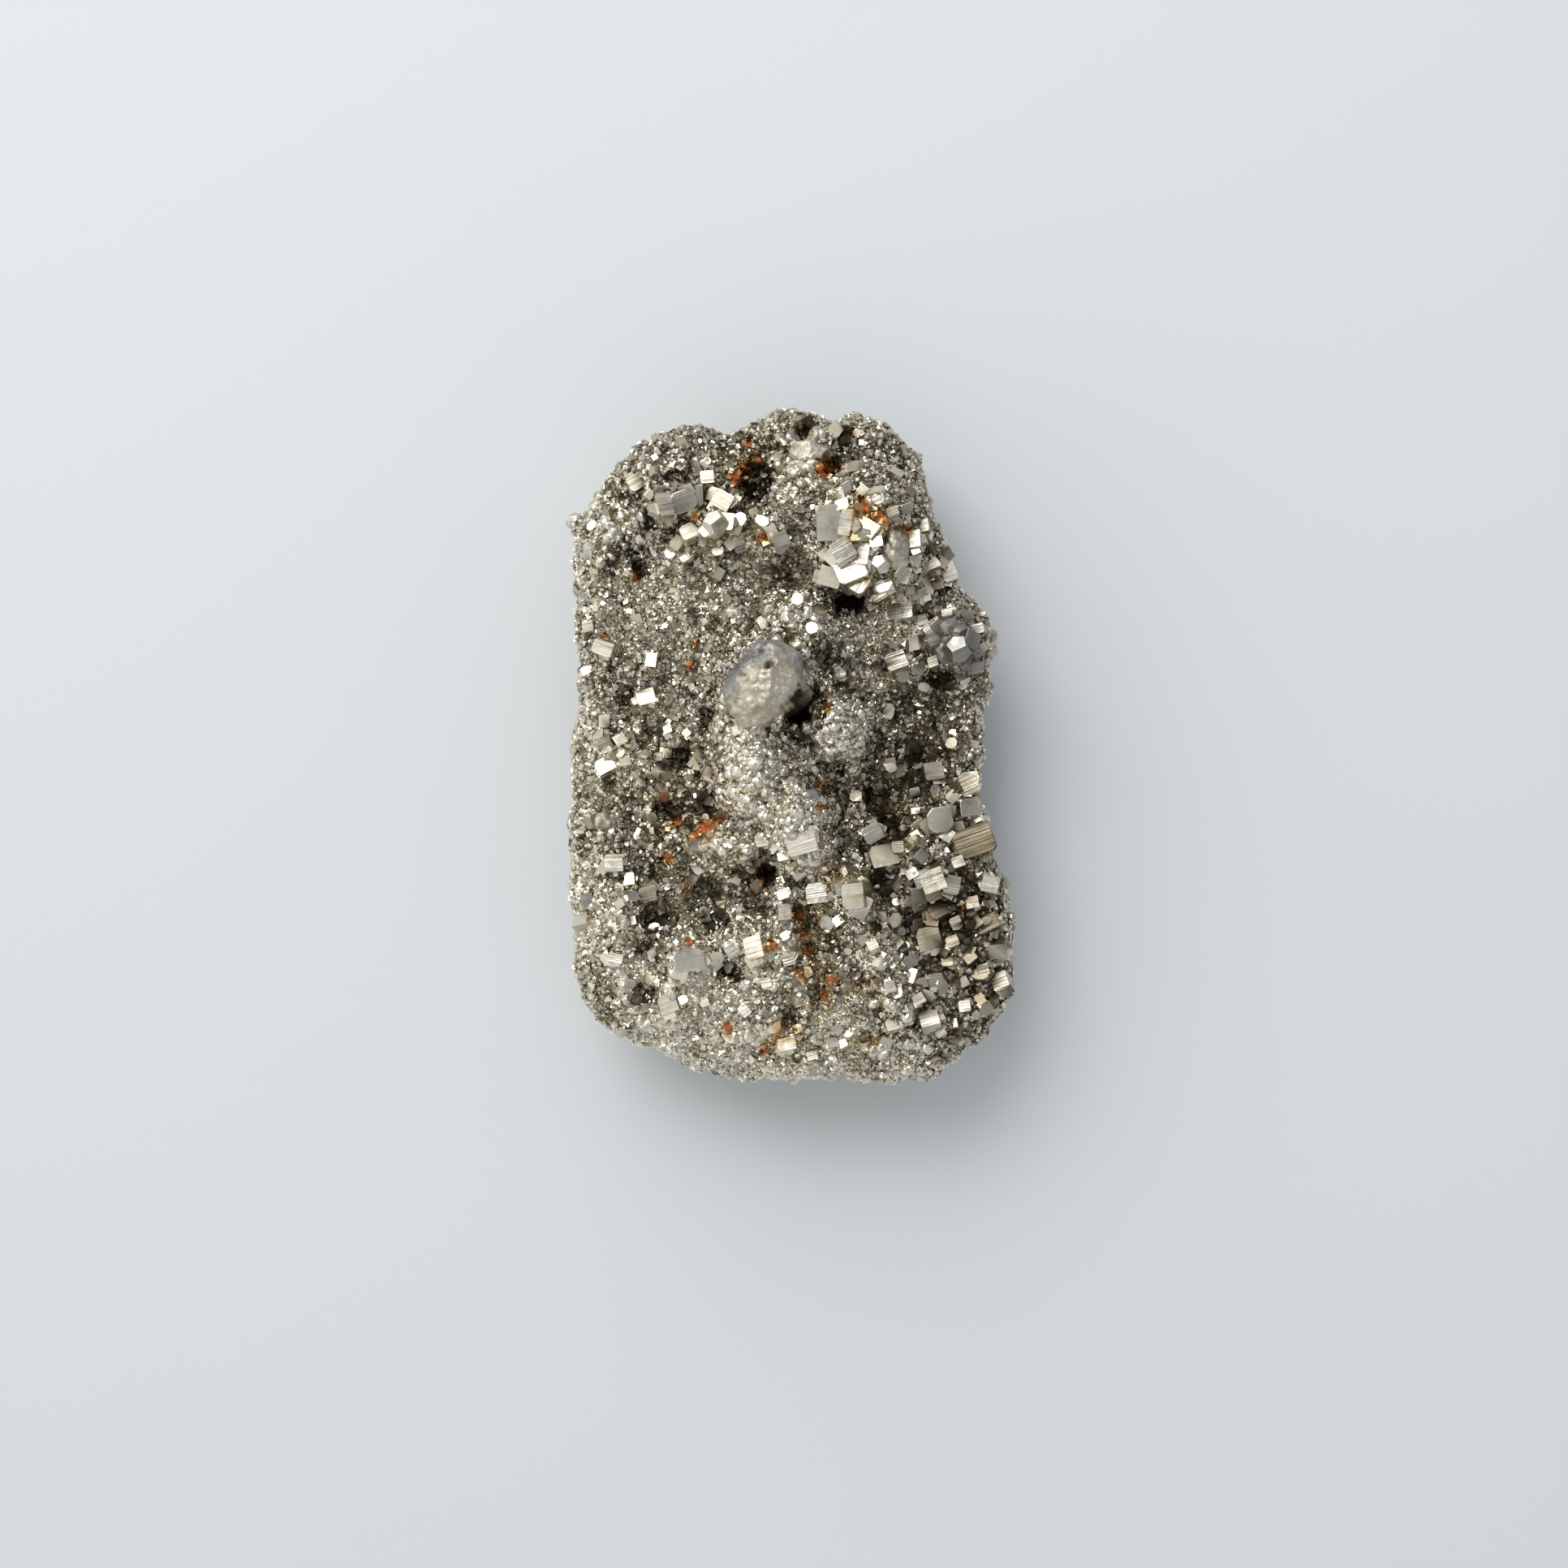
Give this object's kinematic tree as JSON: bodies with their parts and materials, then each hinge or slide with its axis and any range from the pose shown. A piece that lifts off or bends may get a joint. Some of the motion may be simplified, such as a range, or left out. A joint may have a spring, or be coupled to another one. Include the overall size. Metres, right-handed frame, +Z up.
{
  "type": "pyrite mineral specimen",
  "caption": "Hand-sized pyrite specimen lying flat: a lumpy intergrown mass with a high ridge, pits and grooves, covered in a druse of small flat-faced crystals.",
  "frame": {"origin": "bottom centre of the bounding box, on the surface that the specimen lies on", "axes": "+Y along the specimen's longest side towards its crested end, +Z up out of the crystal face"},
  "size_m": [0.0498, 0.0744, 0.0333],
  "materials": {
    "pyrite": "metallic pyrite: bright pale crystal faces, dark pits, and rusty iron-oxide spots"
  },
  "bodies": {
    "root": {"pyrite_cluster": "pyrite"}
  },
  "joints": []
}
